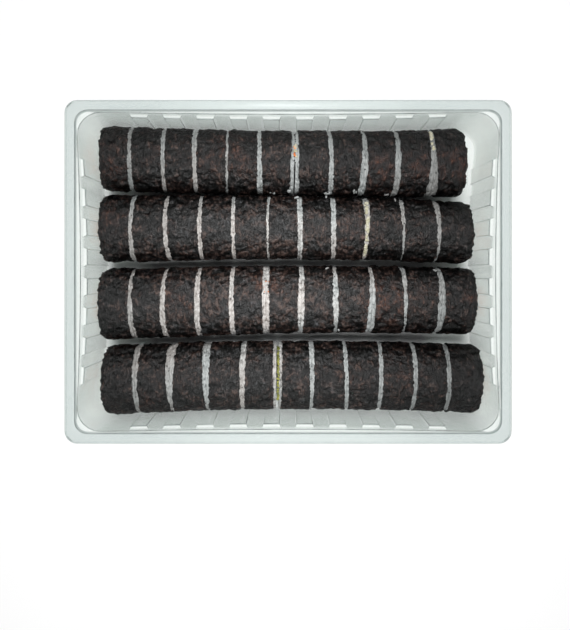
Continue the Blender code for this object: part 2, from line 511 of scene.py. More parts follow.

# %% [markdown]
# Clear plastic over a white table lets most of the light straight through. A partly see-through
# sheet with a glossy skin looks the same, without the dark, noisy shadows of true refraction.
# Three things set how grey it looks:
#
# - the rim keeps the sheet's full thickness, and the further down the wall, the thinner the
#   sheet was drawn;
# - light that crosses the sheet at a slant meets more plastic, so steep faces are greyer;
# - the bends have a darker finish of their own, a painted dark line where the bent sheet turns
#   the light aside, and it fades down the ribs.
#
# The rim has been rubbed by hands and other trays, so it has less gloss than the walls.
#
# Under the rolls the floor is painted darker: painted shade, and a painted reflection of the dark
# nori above it.

# %% Clear PET
SHOULDER_HEIGHT = 39.0 * MM
RIM_HEIGHT = 41.0 * MM
FLOOR_HEIGHT = 2.0 * MM
FLOOR_SHADE_HEIGHT = 3.0 * MM
RIB_FADES_FROM = 5.0 * MM
FLOOR_SHADE_REACH = {"X": 88 * MM, "Y": 70 * MM}
FLOOR_SHADE_FADE = 12 * MM

pet = new_material("clear_pet_sheet", Roughness=0.2, IOR=1.57)
slant = edge_on(pet)
height = place_along(pet, "Z")
full_sheet = range_of(pet, height, SHOULDER_HEIGHT, RIM_HEIGHT)
up_the_wall = range_of(pet, height, FLOOR_HEIGHT, SHOULDER_HEIGHT)
low_alpha = ramp_of(pet, slant, (0.1, "#5A5A5A"), (0.6, "#A0A0A0"))
high_alpha = ramp_of(pet, slant, (0.1, "#6A6A6A"), (0.6, "#B0B0B0"))
rim_alpha = ramp_of(pet, slant, (0.15, "#9E9E9E"), (0.4, "#E0E0E0"), (0.6, "#989898"))
rim_colour = ramp_of(pet, slant, (0.1, "#A0B2AF"), (0.4, "#8A9997"), (0.6, "#C4D2CE"))
drawn_colour = mix_of(pet, up_the_wall, "#BACDC4", "#B2C6BD")
drawn_alpha = mix_of(pet, up_the_wall, low_alpha, high_alpha)
pet_colour = mix_of(pet, full_sheet, drawn_colour, rim_colour)
pet_alpha = mix_of(pet, full_sheet, drawn_alpha, rim_alpha)

# painted shade: under the rolls the floor is mixed towards a dark, less clear colour
painted_shade_floor = range_of(pet, height, FLOOR_SHADE_HEIGHT, FLOOR_HEIGHT)
for axis, reach in FLOOR_SHADE_REACH.items():
    distance = add_node(pet, "ShaderNodeMath", {0: place_along(pet, axis)}, operation="ABSOLUTE")
    inside = range_of(pet, distance.outputs["Value"], reach, reach - FLOOR_SHADE_FADE)
    painted_shade_floor = product_of(pet, painted_shade_floor, inside)
link(pet, mix_of(pet, painted_shade_floor, pet_colour, "#343D3C"), "Base Color")
link(pet, mix_of(pet, painted_shade_floor, pet_alpha, "#A0A0A0"), "Alpha")
link(pet, range_of(pet, full_sheet, 0, 1, 0.5, 0.25), "Specular IOR Level")
link(pet, bump_of(pet, noise_of(pet, 11, 2.0), 0.35, 0.6), "Normal")

# the bend finish is a painted dark line, in place of the light that the bent sheet turns aside
bend = new_material("clear_pet_bend", Roughness=0.12, IOR=1.57)
up_the_rib = range_of(bend, place_along(bend, "Z"), RIB_FADES_FROM, SHOULDER_HEIGHT)
painted_bend_line = ramp_of(bend, noise_of(bend, 9, 2.0), (0.35, "#4C5755"), (0.65, "#7C8987"))
bend_alpha = ramp_of(bend, noise_of(bend, 14, 2.0), (0.35, "#F0F0F0"), (0.65, "#C4C4C4"))
link(bend, painted_bend_line, "Base Color")
link(bend, mix_of(bend, up_the_rib, "#C0C0C0", bend_alpha), "Alpha")

tray.data.materials[SHEET_FINISH] = pet
tray.data.materials[BEND_FINISH] = bend
tray.visible_shadow = False
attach(tray, "root")
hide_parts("tray")
bent = sum(face.material_index == BEND_FINISH for face in tray.data.polygons)
print(bent, "faces on the bends")

# %% [markdown]
# ## Nori
#
# Nori is a sheet of pressed seaweed. On a roll it draws tight over the rice, so it shows lumps
# the size of grains and fine creases over them, and at each cut it ends in a thin dark edge. One
# band is modelled: an open cylinder with enough rings to carry the creases, whose ends are
# folded in to give the sheet its thickness. Each slice gets a copy, fitted to its own points, and
# then the lumps and creases are pressed in by displacement. The rice and the filling of a slice
# start from cylinders too, so the first functions here serve all three.

# %% One band of nori
ROLL_RADIUS = 17.5 * MM
BAND_LENGTH = 16 * MM
NORI_AROUND = 160
NORI_ALONG = 22
NORI_THICKNESS = 0.45 * MM


def start_cylinder(name, around_it, radius, ends="NGON"):
    """A cylinder along X, as long as a slice and ready to edit."""
    bpy.ops.mesh.primitive_cylinder_add(vertices=around_it, radius=radius, depth=BAND_LENGTH,
                                        end_fill_type=ends, rotation=(0, math.pi / 2, 0))
    piece = start_piece(name)
    bpy.ops.object.transform_apply(location=True, rotation=True, scale=True)
    bpy.ops.object.mode_set(mode="EDIT")
    return piece


def inset_ends(piece, times, thickness):
    """Ring after ring of faces inside both ends of a cylinder."""
    for _ in range(times):
        pick(piece, "faces", lambda f: abs(f.normal.x) > 0.9 and len(f.verts) > 4)
        bpy.ops.mesh.inset(thickness=thickness, depth=0)


def cut_along(piece, cuts):
    """Divide the long edges of a cylinder."""
    pick(piece, "edges", lambda e: abs(e.verts[0].co.x - e.verts[1].co.x) > BAND_LENGTH / 2)
    bpy.ops.mesh.subdivide(number_cuts=cuts)


band = start_cylinder("nori_band", NORI_AROUND, ROLL_RADIUS, "NOTHING")
cut_along(band, NORI_ALONG - 1)
pick(band, "edges", lambda e: e.is_boundary)
bpy.ops.mesh.extrude_region_move()
shrink = 1 - NORI_THICKNESS / ROLL_RADIUS
bpy.ops.transform.resize(value=(1, shrink, shrink))
bpy.ops.mesh.bridge_edge_loops()
bpy.ops.mesh.select_all(action="SELECT")
bpy.ops.mesh.normals_make_consistent(inside=False)
bpy.ops.object.mode_set(mode="OBJECT")
print("one band has", len(band.data.polygons), "faces")

# %% [markdown]
# The fitting function reads a point's angle round the roll, its share of the length and its
# distance from the axis, and puts it at the same place in the slice. The sheet's end laps over
# its start by a few millimetres, low on the roll, which leaves a small step along it. The
# knife drags the damp sheet, so its cut edges are wavy and a little torn.

# %% Fit a band to its slice
LAP_ANGLES = {"1": 3.9, "2": 4.1, "3": 3.7, "4": 5.3}
LAP_WIDTH = 0.5
# height, number of waves, and the fewest and most times that one goes round the roll
EDGE_WAVES = (0.15 * MM, 5, 3, 18)
EDGE_TEARS = (0.15 * MM, 6, 25, 60)
END_TEARS = (0.22 * MM, 6, 3, 30)
# depth in mm, and the texture's level that leaves the surface where it is
LUMPS = (1.7, 0.52)
CREASES = (0.3, 0.6)
AXIS = np.zeros(3)


def waves(angles, rng, height, count, lowest, highest):
    """A wavy line round the roll, for uneven edges."""
    total = np.zeros_like(angles)
    for _ in range(count):
        times = rng.integers(lowest, highest)
        total += np.sin(times * angles + rng.uniform(0, math.tau))
    return height * (total / math.sqrt(count))


def ragged(angles, rng):
    return waves(angles, rng, *EDGE_WAVES) + waves(angles, rng, *EDGE_TEARS)


def fit_band(piece, name, rng):
    rings, middle = slices[name]
    points = read_points(piece)
    angles, reach = polar(points, AXIS)
    share = points[:, 0] / BAND_LENGTH + 0.5
    left, right = around(rings[1], angles), around(rings[2], angles)
    for face, edge in (("left", left), ("right", right)):
        if is_row_end(name, face):
            edge[:, 0] = face_x(name, face, edge) + waves(angles, rng, *END_TEARS)
    left[:, 0] += ragged(angles, rng)
    right[:, 0] += ragged(angles, rng)
    place = left + (right - left) * share[:, None]
    lap = (LAP_ANGLES[name[5]] - angles) % math.tau
    lap_step = np.where(lap < LAP_WIDTH, 1 - lap / LAP_WIDTH, 0) * NORI_THICKNESS
    scale = (reach + lap_step - squeezed_by(name, place)) / ROLL_RADIUS
    place[:, 1:] = middle[1:] + (place[:, 1:] - middle[1:]) * scale[:, None]
    write_points(piece, place)


rice_lumps = texture("rice_lumps", "CLOUDS", 3.8, noise_depth=1)
creases = texture("creases", "MUSGRAVE", 2.4, musgrave_type="RIDGED_MULTIFRACTAL", octaves=3)
_, band_reach = polar(read_points(band), AXIS)
outer_points = [int(i) for i in np.flatnonzero(band_reach > ROLL_RADIUS - 0.1 * MM)]
bands = []
for name in slice_names:
    rng = np.random.default_rng(int(name[5]) * 100 + int(name[-2:]))
    piece = copy_piece(band, f"nori_{name[5:]}")
    fit_band(piece, name, rng)
    piece.vertex_groups.new(name="outside").add(outer_points, 1.0, "ADD")
    displace(piece, rice_lumps, *LUMPS, "outside")
    displace(piece, creases, *CREASES, "outside")
    apply_modifiers(piece)
    bpy.ops.object.shade_smooth_by_angle(angle=math.radians(50))
    bands.append(piece)
bpy.data.objects.remove(band)
print(len(bands), "bands of nori")

# %% [markdown]
# Toasted nori is nearly black, but it is far from even. Where the sheet is thin or wet it turns
# red-brown. These patches are painted onto the bands as an attribute. Towards the walls of the
# tray the nori is painted darker and less glossy, as painted shade where less light falls than in
# the middle. That is painted as an attribute too.

# %% Warm patches and painted shade
SHADE_MIDDLE = (-12.0, -8.0)
SHADE_STARTS = 0.3
SHADE_LENGTH = 100.0
SHADE_WIDTH = 95.0
# mm along the tray and across it, radius in mm, strength
WARM_PATCHES = (
    (-93, 62, 7, 0.7), (-88, 52, 5, 0.6), (-96, 55, 4, 0.6), (-67, 62, 4, 0.5),
    (-42, 60, 6, 0.5), (-31, 62, 8, 0.8), (-25, 58, 6, 0.6), (-9, 56, 5, 0.4),
    (50, 55, 7, 1.0), (44, 52, 6, 0.8), (60, 58, 4, 0.6), (66, 56, 7, 0.7),
    (74, 56, 6, 0.6), (80, 58, 8, 0.8), (91, 57, 6, 1.4), (93, 49, 4, 0.9),
    (-96, 32, 5, 1.0), (-92, 24, 6, 0.5), (30, 20, 6, 0.5), (40, 25, 7, 0.5),
    (-60, -12, 5, 0.6), (-52, -16, 6, 0.6), (-15, -7, 6, 0.9), (-6, -8, 5, 0.9),
    (52, -16, 9, 1.3), (44, -12, 5, 0.6), (74, -14, 6, 0.8), (96, -14, 4, 1.2),
    (-74, -67, 5, 0.4), (30, -54, 6, 0.5), (60, -56, 8, 0.5),
)


def paint(piece, name, values):
    piece.data.attributes.new(name, "FLOAT", "POINT").data.foreach_set("value", values)


def paint_warmth(piece):
    """Write the strength of the warm patches at every point of a band."""
    points = read_points(piece) / MM
    warmth = np.zeros(len(points))
    for x, y, radius, strength in WARM_PATCHES:
        distance = np.hypot(points[:, 0] - x, points[:, 1] - y)
        warmth += strength * np.exp(-(distance / radius) ** 2)
    paint(piece, "warmth", warmth)


def paint_shade(piece, last_cut=200.0):
    """Write each point's painted shade, from the best-lit place to the last cut, in mm."""
    points = read_points(piece) / MM
    from_middle = np.hypot((points[:, 0] - SHADE_MIDDLE[0]) / SHADE_LENGTH,
                           (points[:, 1] - SHADE_MIDDLE[1]) / SHADE_WIDTH)
    damp = np.clip(from_middle - SHADE_STARTS, 0, 1)
    past_cuts = np.abs(points[:, 0]) > last_cut
    damp[past_cuts] = 0
    paint(piece, "damp", damp)
    paint(piece, "end_face", past_cuts.astype(float))


for piece in bands:
    paint_warmth(piece)
    paint_shade(piece)
print(len(WARM_PATCHES), "warm patches")

# %% [markdown]
# The finish has three sizes of mottling: a leathery grain of about two millimetres, streaks that
# run round the roll, and blotches where the seaweed lay thicker. Its hue drifts between
# green-black and brown-black. Most of its brightness is gloss, and the grain breaks that into
# soft glints. Seen edge-on, the fibres hide the gloss between them.

# %% Toasted nori
nori = new_material("toasted_nori", Roughness=0.4)
grain_pattern = noise_of(nori, 1.7, 3.0, 0.6, (1.15, 0.9, 0.9))
streaks = noise_of(nori, 2.2, 3.0, 0.6, (2.2, 0.5, 0.5))
blotches = noise_of(nori, 4.0, 2.0, 0.5)
# painted shade: towards the walls of the tray the mottling turns darker and the gloss is lowered
damp = painted(nori, "damp")
mottling = sum_of(nori, (grain_pattern, 0.4), (streaks, 0.3), (blotches, 0.3), (damp, -0.08))
green_black = ramp_of(nori, mottling, (0.42, "#010101"), (0.50, "#121312"), (0.58, "#434446"))
brown_black = ramp_of(nori, mottling, (0.42, "#030202"), (0.50, "#1C1412"), (0.58, "#52433D"))
brown_share = ramp_of(nori, noise_of(nori, 8.0, 2.0), (0.40, "#000000"), (0.55, "#FFFFFF"))
plain_colour = mix_of(nori, brown_share, green_black, brown_black)
warm_colour = ramp_of(nori, mottling, (0.39, "#120907"), (0.50, "#34201A"), (0.61, "#6C4837"))
blotch_share = ramp_of(nori, blotches, (0.36, "#606060"), (0.60, "#FFFFFF"))
warm_share = product_of(nori, painted(nori, "warmth"), blotch_share, use_clamp=True)
link(nori, mix_of(nori, warm_share, plain_colour, warm_colour), "Base Color")
dulled = range_of(nori, damp, 0.0, 0.75, 0.72, 0.42)
faded = range_of(nori, edge_on(nori), 0.15, 0.6, 1.0, 0.12)
link(nori, product_of(nori, dulled, faded), "Specular IOR Level")
crinkles = noise_of(nori, 3.2, 2.0, 0.5, (1.2, 0.8, 0.8), "RIDGED_MULTIFRACTAL")
crinkled = bump_of(nori, crinkles, 0.7, 1.0)
link(nori, bump_of(nori, mottling, 0.9, 3.6, Normal=crinkled), "Normal")
for piece, name in zip(bands, slice_names):
    finish_piece(piece, nori, [name])

# %% [markdown]
# ## Rice
#
# The body of each slice is a plug that fills the nori. Pressed sushi rice keeps its grains, so
# grains lie in it where they show: round every cut, and all over the ends of the rolls.

# %% One plug of rice
PLUG_AROUND = 72
PLUG_CUTS = 9
FACE_RINGS = 6

plug = start_cylinder("rice_plug", PLUG_AROUND, ROLL_RADIUS)
inset_ends(plug, FACE_RINGS, ROLL_RADIUS / (FACE_RINGS + 1))
cut_along(plug, PLUG_CUTS)
bpy.ops.object.mode_set(mode="OBJECT")
print("one plug has", len(plug.data.polygons), "faces")

# %% Fit a plug to its slice
PLUG_BELOW_NORI = 0.95 * MM
PLUG_BELOW_OPEN = 0.75 * MM
FACE_SINK = 0.02 * MM
ROW_END_SINK = 1.4 * MM
# share of the slice's length over which the plug comes nearer to its outline, at each face
OPEN_SHARE = 1 / 8
RICE_BUMPS = (0.3, 0.5)


def run_between_faces(place, name, share, row_end_sink, face_sink):
    """Put points along their slice by their share of its length, a little behind its faces."""
    left, right = (face_x(name, face, place) for face in INWARD)
    left += row_end_sink if is_row_end(name, "left") else face_sink
    right -= row_end_sink if is_row_end(name, "right") else face_sink
    place[:, 0] = left + (right - left) * share


def fit_plug(piece, name):
    rings, middle = slices[name]
    points = read_points(piece)
    angles, reach = polar(points, AXIS)
    share = (points[:, 0] / BAND_LENGTH + 0.5)[:, None]
    outline = around(rings[1], angles) * (1 - share) + around(rings[2], angles) * share
    _, radius = polar(outline, middle)
    open_share = np.clip(1 - np.minimum(share[:, 0], 1 - share[:, 0]) / OPEN_SHARE, 0, 1)
    below = PLUG_BELOW_NORI + (PLUG_BELOW_OPEN - PLUG_BELOW_NORI) * open_share
    below += squeezed_by(name, outline)
    scale = reach / ROLL_RADIUS * (radius - below) / radius
    place = middle + (outline - middle) * scale[:, None]
    run_between_faces(place, name, share[:, 0], ROW_END_SINK, FACE_SINK)
    write_points(piece, place)


def fit_to_slices(master, kind, fit, made, bumps):
    """A copy of the master for each slice, fitted to it and roughened by a texture."""
    pieces = []
    for name in slice_names:
        piece = copy_piece(master, f"{kind}_{name[5:]}")
        fit(piece, name)
        displace(piece, made, *bumps)
        apply_modifiers(piece)
        bpy.ops.object.shade_smooth_by_angle(angle=math.radians(60))
        pieces.append(piece)
    bpy.data.objects.remove(master)
    return pieces


packed_grains = texture("packed_grains", "CLOUDS", 2.2, noise_depth=1)
plugs = fit_to_slices(plug, "rice", fit_plug, packed_grains, RICE_BUMPS)
print(len(plugs), "plugs of rice")

# %% [markdown]
# One cooked grain is a small sphere, stretched, flattened a little, bent, and notched at one end
# where the germ was. It is repeated a few thousand times, so it has only a few dozen faces.

# %% One grain of cooked rice
GRAIN_LENGTH = 5.8 * MM
GRAIN_WIDTH = 2.3 * MM

bpy.ops.mesh.primitive_uv_sphere_add(segments=8, ring_count=7, radius=0.5)
grain = start_piece("rice_grain")
bpy.ops.object.mode_set(mode="EDIT")
bpy.ops.mesh.select_all(action="SELECT")
bpy.ops.transform.resize(value=(GRAIN_WIDTH, GRAIN_WIDTH * 0.9, GRAIN_LENGTH))
pick(grain, "verts", lambda v: abs(v.co.z) < GRAIN_LENGTH * 0.2)
bpy.ops.transform.translate(value=(0.2 * MM, 0, 0))
pick(grain, "verts", lambda v: v.co.z > GRAIN_LENGTH * 0.4)
bpy.ops.transform.translate(value=(-0.15 * MM, 0, -0.25 * MM))
bpy.ops.object.mode_set(mode="OBJECT")
grain_points = read_points(grain)
grain_faces = [list(face.vertices) for face in grain.data.polygons]
print("a grain has", len(grain_faces), "faces")

# %% [markdown]
# Scattered things become one joined mesh for each roll. Every copy is turned by directions of
# its own. Then its points are held inside the slice, below the nori and behind the knife's
# plane, which shears the grains flat exactly where the knife passed.

# %% Turn copies and hold them in the slice
UNDER_NORI = 0.55 * MM
IN_THE_OPEN = 0.34 * MM
UNDER_END = 1.0 * MM
NORI_MARGIN = 0.15 * MM


def unit(vectors):
    return vectors / np.linalg.norm(vectors, axis=1)[:, None]


def square_to(lengthwise, vectors):
    """Unit vectors at right angles to the lengthwise ones, as near to the others as can be."""
    return unit(vectors - lengthwise * np.sum(vectors * lengthwise, axis=1)[:, None])


def away_from(middle, points):
    """Directions from the axis of a roll out to some points."""
    out = points - middle
    out[:, 0] = 0
    return unit(out)


def turned_copies(points, places, lengthwise, outward, scales):
    """Copies of a small mesh's points, with its Z turned lengthwise and its X outward."""
    third = np.cross(lengthwise, outward)
    axes = np.stack([outward, third, lengthwise], axis=1)
    return np.einsum("pk,nkx->npx", points, axes) * scales[:, None, None] + places[:, None, :]


def hold_in_slice(points, name):
    """Keep points behind the slice's faces, and inside its nori or, in the open, its outline."""
    rings, middle = slices[name]
    angles, reach = polar(points, middle)
    first, last = around(rings[1], angles), around(rings[2], angles)
    share = np.clip((points[:, 0] - first[:, 0]) / (last[:, 0] - first[:, 0]), 0, 1)[:, None]
    _, radius = polar(first + (last - first) * share, middle)
    after_first = points[:, 0] > first[:, 0] - NORI_MARGIN
    before_last = points[:, 0] < last[:, 0] + NORI_MARGIN
    below = np.where(after_first & before_last, UNDER_NORI, IN_THE_OPEN)
    for face, inward in INWARD.items():
        if is_row_end(name, face):
            below[inward * (points[:, 0] - middle[0]) < 0] = UNDER_END
    limit = radius - below - squeezed_by(name, points)
    shrink = np.minimum(1, limit / reach)
    held = points.copy()
    held[:, 1:] = middle[1:] + (points[:, 1:] - middle[1:]) * shrink[:, None]
    held[:, 0] = np.clip(held[:, 0], *(face_x(name, face, held) for face in INWARD))
    return held


def copies_in_slice(name, *turned):
    copies = turned_copies(*turned)
    return hold_in_slice(copies.reshape(-1, 3), name).reshape(copies.shape)


def join_copies(name, groups, faces):
    """One mesh object from groups of copies of the same small mesh."""
    copies = np.concatenate(groups)
    count, points_each, _ = copies.shape
    all_faces = [[i + k * points_each for i in face] for k in range(count) for face in faces]
    mesh = bpy.data.meshes.new(name)
    mesh.from_pydata(copies.reshape(-1, 3), [], all_faces)
    piece = bpy.data.objects.new(name, mesh)
    bpy.context.collection.objects.link(piece)
    select_only(piece)
    bpy.ops.object.shade_smooth()
    return piece


# %% Rings of grains round every cut
RIM_GRAINS = 26
RIM_DEPTH = 1.0 * MM
RIM_SPREAD = 0.6 * MM
RIM_BEHIND_FACE = (0.5, 1.2)
RIM_SCALES = (0.75, 1.1)


def rim_grains(name, face, rng):
    """Grains pressed round the rim of a face, lying along the rim."""
    rings, middle = slices[name]
    angles = np.arange(RIM_GRAINS) / RIM_GRAINS * math.tau
    angles = (angles + rng.normal(0, 0.05, RIM_GRAINS)) % math.tau
    outline = around(rings[1], angles)
    out = away_from(middle, outline)
    places = outline - out * (RIM_DEPTH + rng.uniform(0, RIM_SPREAD, RIM_GRAINS))[:, None]
    depth = rng.uniform(*RIM_BEHIND_FACE, RIM_GRAINS) * MM
    places[:, 0] = face_x(name, face, places) + INWARD[face] * depth
    tangent = np.column_stack([rng.normal(0, 0.3, RIM_GRAINS), -out[:, 2], out[:, 1]])
    tangent = unit(tangent)
    scales = rng.uniform(*RIM_SCALES, RIM_GRAINS)
    return copies_in_slice(name, grain_points, places, tangent, square_to(tangent, out), scales)

# %% Grains all over the faces at the ends of the rolls
FACE_GRAINS = 190
FACE_EDGE = 1 * MM
FACE_DEPTHS = (0.3, 1.7)
FACE_SCALES = (0.85, 1.1)
FILLING_HALF_WIDTH = 8.6 * MM
FILLING_HALF_HEIGHT = 7.4 * MM
CLEAR_OF_FILLING = 1.15


def face_grains(name, face, rng):
    """Grains lying in a face in every direction, round the filling."""
    _, middle = slices[name]
    distance = np.sqrt(rng.uniform(0.12, 0.98, FACE_GRAINS * 2)) * (ROLL_RADIUS - FACE_EDGE)
    angles = rng.uniform(0, math.tau, FACE_GRAINS * 2)
    across, up = distance * np.cos(angles), distance * np.sin(angles)
    outside = ((across / FILLING_HALF_WIDTH) ** 2 + (up / FILLING_HALF_HEIGHT) ** 2
               > CLEAR_OF_FILLING)
    across, up = across[outside][:FACE_GRAINS], up[outside][:FACE_GRAINS]
    count = len(across)
    places = np.column_stack([np.zeros(count), middle[1] + across, middle[2] + up])
    depth = rng.uniform(*FACE_DEPTHS, count) * MM
    places[:, 0] = face_x(name, face, places) + INWARD[face] * depth
    turn = rng.uniform(0, math.tau, count)
    lengthwise = unit(np.column_stack([rng.normal(0, 0.45, count), np.cos(turn),
                                       np.sin(turn)]))
    outward = np.tile([-float(INWARD[face]), 0.0, 0.0], (count, 1))
    scales = rng.uniform(*FACE_SCALES, count)
    return copies_in_slice(name, grain_points, places, lengthwise,
                           square_to(lengthwise, outward), scales)

# %% [markdown]
# The knife also pushes some rice out. Broken grains stick to the nori beside a cut, mostly low
# on the front of the first roll.

# %% Stray grains
# roll, mm along it, degrees from its top (back positive), number of grains and their scale
STRAY_RICE = (
    ("1", -8, -74, 3, 0.5), ("1", 0, -70, 4, 0.5), ("1", 21, -72, 4, 0.5), ("1", 36, -67, 4, 0.5),
    ("1", 38, -60, 2, 0.5), ("1", 53, -78, 3, 0.45), ("2", 4.5, 62, 1, 0.55), ("2", 21, 66, 1, 0.5),
    ("2", 57, 60, 2, 0.4), ("3", 23, 66, 1, 0.5), ("3", 79, 64, 2, 0.4), ("3", 26, -58, 1, 0.5),
    ("4", -23, 64, 1, 0.55), ("4", -62, -55, 2, 0.4),
)


def place_on_roll(roll, x, angle):
    """The point on the nori's outline there, and the direction out of it."""
    for name in slice_names:
        rings, middle = slices[name]
        if name[5] == roll and x < rings[2, :, 0].mean():
            break
    point = around(rings[1], np.array([math.radians(90 - angle)]))[0]
    point[0] = x
    out = np.array([0.0, point[1] - middle[1], point[2] - middle[2]])
    return point, out / np.linalg.norm(out)


def stray_grains(roll, rng):
    copies = [np.zeros((0, len(grain_points), 3))]
    for place_roll, x, angle, count, scale in STRAY_RICE:
        if place_roll != roll:
            continue
        point, out = place_on_roll(roll, x * MM, angle)
        shifts = rng.normal(0, 0.7 * MM, (count, 3))
        places = point + shifts - out * (shifts @ out)[:, None] + out * 0.3 * MM
        outward = np.tile(out, (count, 1))
        lengthwise = rng.normal(0, 1, (count, 3)) + np.cross(out, [2.5, 0, 0])
        lengthwise = unit(lengthwise - outward * (lengthwise @ out)[:, None])
        scales = rng.uniform(0.85, 1.2, count) * scale
        copies.append(turned_copies(grain_points, places, lengthwise, outward, scales))
    return np.concatenate(copies)


# %% Join the grains of each roll
loose_grains = []
for roll in "1234":
    rng = np.random.default_rng(int(roll))
    groups = []
    for name in slice_names:
        if name[5] != roll:
            continue
        for face in INWARD:
            groups.append(rim_grains(name, face, rng))
            if is_row_end(name, face):
                groups.append(face_grains(name, face, rng))
    groups.append(stray_grains(roll, rng))
    loose_grains.append(join_copies(f"rice_grains_{roll}", groups, grain_faces))
bpy.data.objects.remove(grain)
print("grains:", [len(piece.data.polygons) // len(grain_faces) for piece in loose_grains])

# %% [markdown]
# Cooked rice is white but a little see-through, and its starch gives it a soft gloss. Some
# grains are cloudier, and the darkest spots of that pattern are painted shade of small pits between
# them. In the strips at the cuts the rice is pressed, and it is painted greyer than on the faces at
# the ends of the rolls, partly as painted shade of the narrow cut. Towards the walls of the tray it
# is painted darker still, as painted shade.

# %% Cooked rice
LAST_CUT = 92.0
rice = new_material("cooked_sushi_rice", Roughness=0.4, Specular_IOR_Level=0.45)
cloudiness_and_pit_shade = noise_of(rice, 2.2, 3.5, 0.62)
# the darkest stops are painted shade of pits between the grains
warm_rice = ramp_of(rice, cloudiness_and_pit_shade, (0.32, "#6E6762"), (0.42, "#B0AAA5"), (0.62, "#D4D0CC"))
cool_rice = ramp_of(rice, cloudiness_and_pit_shade, (0.32, "#666B6A"), (0.42, "#A8ADAC"), (0.62, "#CDD1D0"))
cool_share = ramp_of(rice, noise_of(rice, 60, 1.0), (0.42, "#000000"), (0.58, "#FFFFFF"))
unshaded_rice = mix_of(rice, cool_share, warm_rice, cool_rice)
# painted shade: the strip rice turns grey towards the walls of the tray
pressed_and_shaded_rice = mix_of(rice, painted(rice, "damp"), unshaded_rice, "#6E7170")
loose_rice = ramp_of(rice, cloudiness_and_pit_shade, (0.32, "#C9C6C1"), (0.62, "#EAE8E4"))
rice_colour = mix_of(rice, painted(rice, "end_face"), pressed_and_shaded_rice, loose_rice)
link(rice, rice_colour, "Base Color")
link(rice, bump_of(rice, noise_of(rice, 0.8, 2.0), 0.25, 0.15), "Normal")
for piece in plugs + loose_grains:
    paint_shade(piece, LAST_CUT)
    finish_piece(piece, rice)

# %% [markdown]
# ## Filling
#
# The filling is a soft orange mix in the middle of the rice, in two lobes side by side. It runs
# through every slice as a core, and its own chopped pieces cover it where the ends of the rolls
# show it.

# %% One core of filling
CORE_AROUND = 48
CORE_RINGS = 4
CORE_CUTS = 7
CORE_END_SINK = 1.1 * MM
CORE_FACE_SINK = 0.25 * MM
WAIST_DEPTH = 0.2
WAIST_WIDTH = 0.35
FILLING_BUMPS = (0.5, 0.6)

core = start_cylinder("filling_core", CORE_AROUND, 1)
inset_ends(core, CORE_RINGS, 0.2)
cut_along(core, CORE_CUTS)
bpy.ops.object.mode_set(mode="OBJECT")
print("one core has", len(core.data.polygons), "faces")


def waist(angles):
    """How the filling narrows between its two lobes."""
    return 1 - WAIST_DEPTH * np.exp(-(np.cos(angles) / WAIST_WIDTH) ** 2)


def fit_core(piece, name):
    """Shape the core into two lobes and run it from face to face of its slice."""
    _, middle = slices[name]
    points = read_points(piece)
    angles, reach = polar(points, AXIS)
    place = np.zeros_like(points)
    place[:, 1] = middle[1] + FILLING_HALF_WIDTH * reach * np.cos(angles)
    place[:, 2] = middle[2] + FILLING_HALF_HEIGHT * reach * np.sin(angles) * waist(angles)
    share = points[:, 0] / BAND_LENGTH + 0.5
    run_between_faces(place, name, share, CORE_END_SINK, CORE_FACE_SINK)
    write_points(piece, place)


chopped = texture("chopped", "CLOUDS", 2.0, noise_depth=1)
cores = fit_to_slices(core, "filling", fit_core, chopped, FILLING_BUMPS)

# %% One chopped piece
bpy.ops.mesh.primitive_ico_sphere_add(subdivisions=2, radius=0.5)
chunk = start_piece("chopped_piece")
bpy.ops.object.mode_set(mode="EDIT")
pick(chunk, "verts", lambda v: v.co.x > 0.3)
bpy.ops.transform.resize(value=(0.75, 1, 1))
pick(chunk, "verts", lambda v: v.co.y + v.co.z > 0.45)
bpy.ops.transform.translate(value=(0, -0.1, -0.12))
pick(chunk, "verts", lambda v: v.co.z < -0.3)
bpy.ops.transform.resize(value=(1.15, 1.1, 0.8))
bpy.ops.mesh.select_all(action="SELECT")
bpy.ops.transform.vertex_random(offset=0.06, seed=4)
bpy.ops.object.mode_set(mode="OBJECT")
chunk_points = read_points(chunk)
chunk_faces = [list(face.vertices) for face in chunk.data.polygons]
bpy.data.objects.remove(chunk)
print("a chopped piece has", len(chunk_faces), "faces")

# %% Chopped pieces on the ends of the rolls
# kind: (pieces on each face, smallest and largest size in mm)
CHOPPED_KINDS = {"salmon": (60, 2.2, 4.2), "cream": (14, 1.5, 3.0), "herb": (14, 1.2, 2.6),
                 "black": (8, 1.0, 2.0)}
CHOPPED_SPREAD = 0.92


def face_chunks(name, face, kind, rng):
    """Chopped pieces of one kind, spread over the filling in one face."""
    count, smallest, largest = CHOPPED_KINDS[kind]
    _, middle = slices[name]
    distance = np.sqrt(rng.uniform(0, 1, count))
    angles = rng.uniform(0, math.tau, count)
    across = CHOPPED_SPREAD * FILLING_HALF_WIDTH * distance * np.cos(angles)
    up = CHOPPED_SPREAD * FILLING_HALF_HEIGHT * distance * np.sin(angles) * waist(angles)
    places = np.column_stack([np.zeros(count), middle[1] + across, middle[2] + up])
    depth = rng.uniform(0.5, 1.2, count) * MM
    places[:, 0] = face_x(name, face, places) + INWARD[face] * depth
    lengthwise = unit(rng.normal(0, 1, (count, 3)))
    outward = unit(np.cross(lengthwise, unit(rng.normal(0, 1, (count, 3)))))
    scales = rng.uniform(smallest, largest, count) * MM
    return copies_in_slice(name, chunk_points, places, lengthwise, outward, scales)

# %% [markdown]
# A few cuts show more than rice, because the knife carried some filling with it: orange crumbs,
# a line of avocado in an open cut, cheese smeared over a strip, and small crumbs of nori nearly
# everywhere. The pieces lie on the strip, half sunk into the rice.

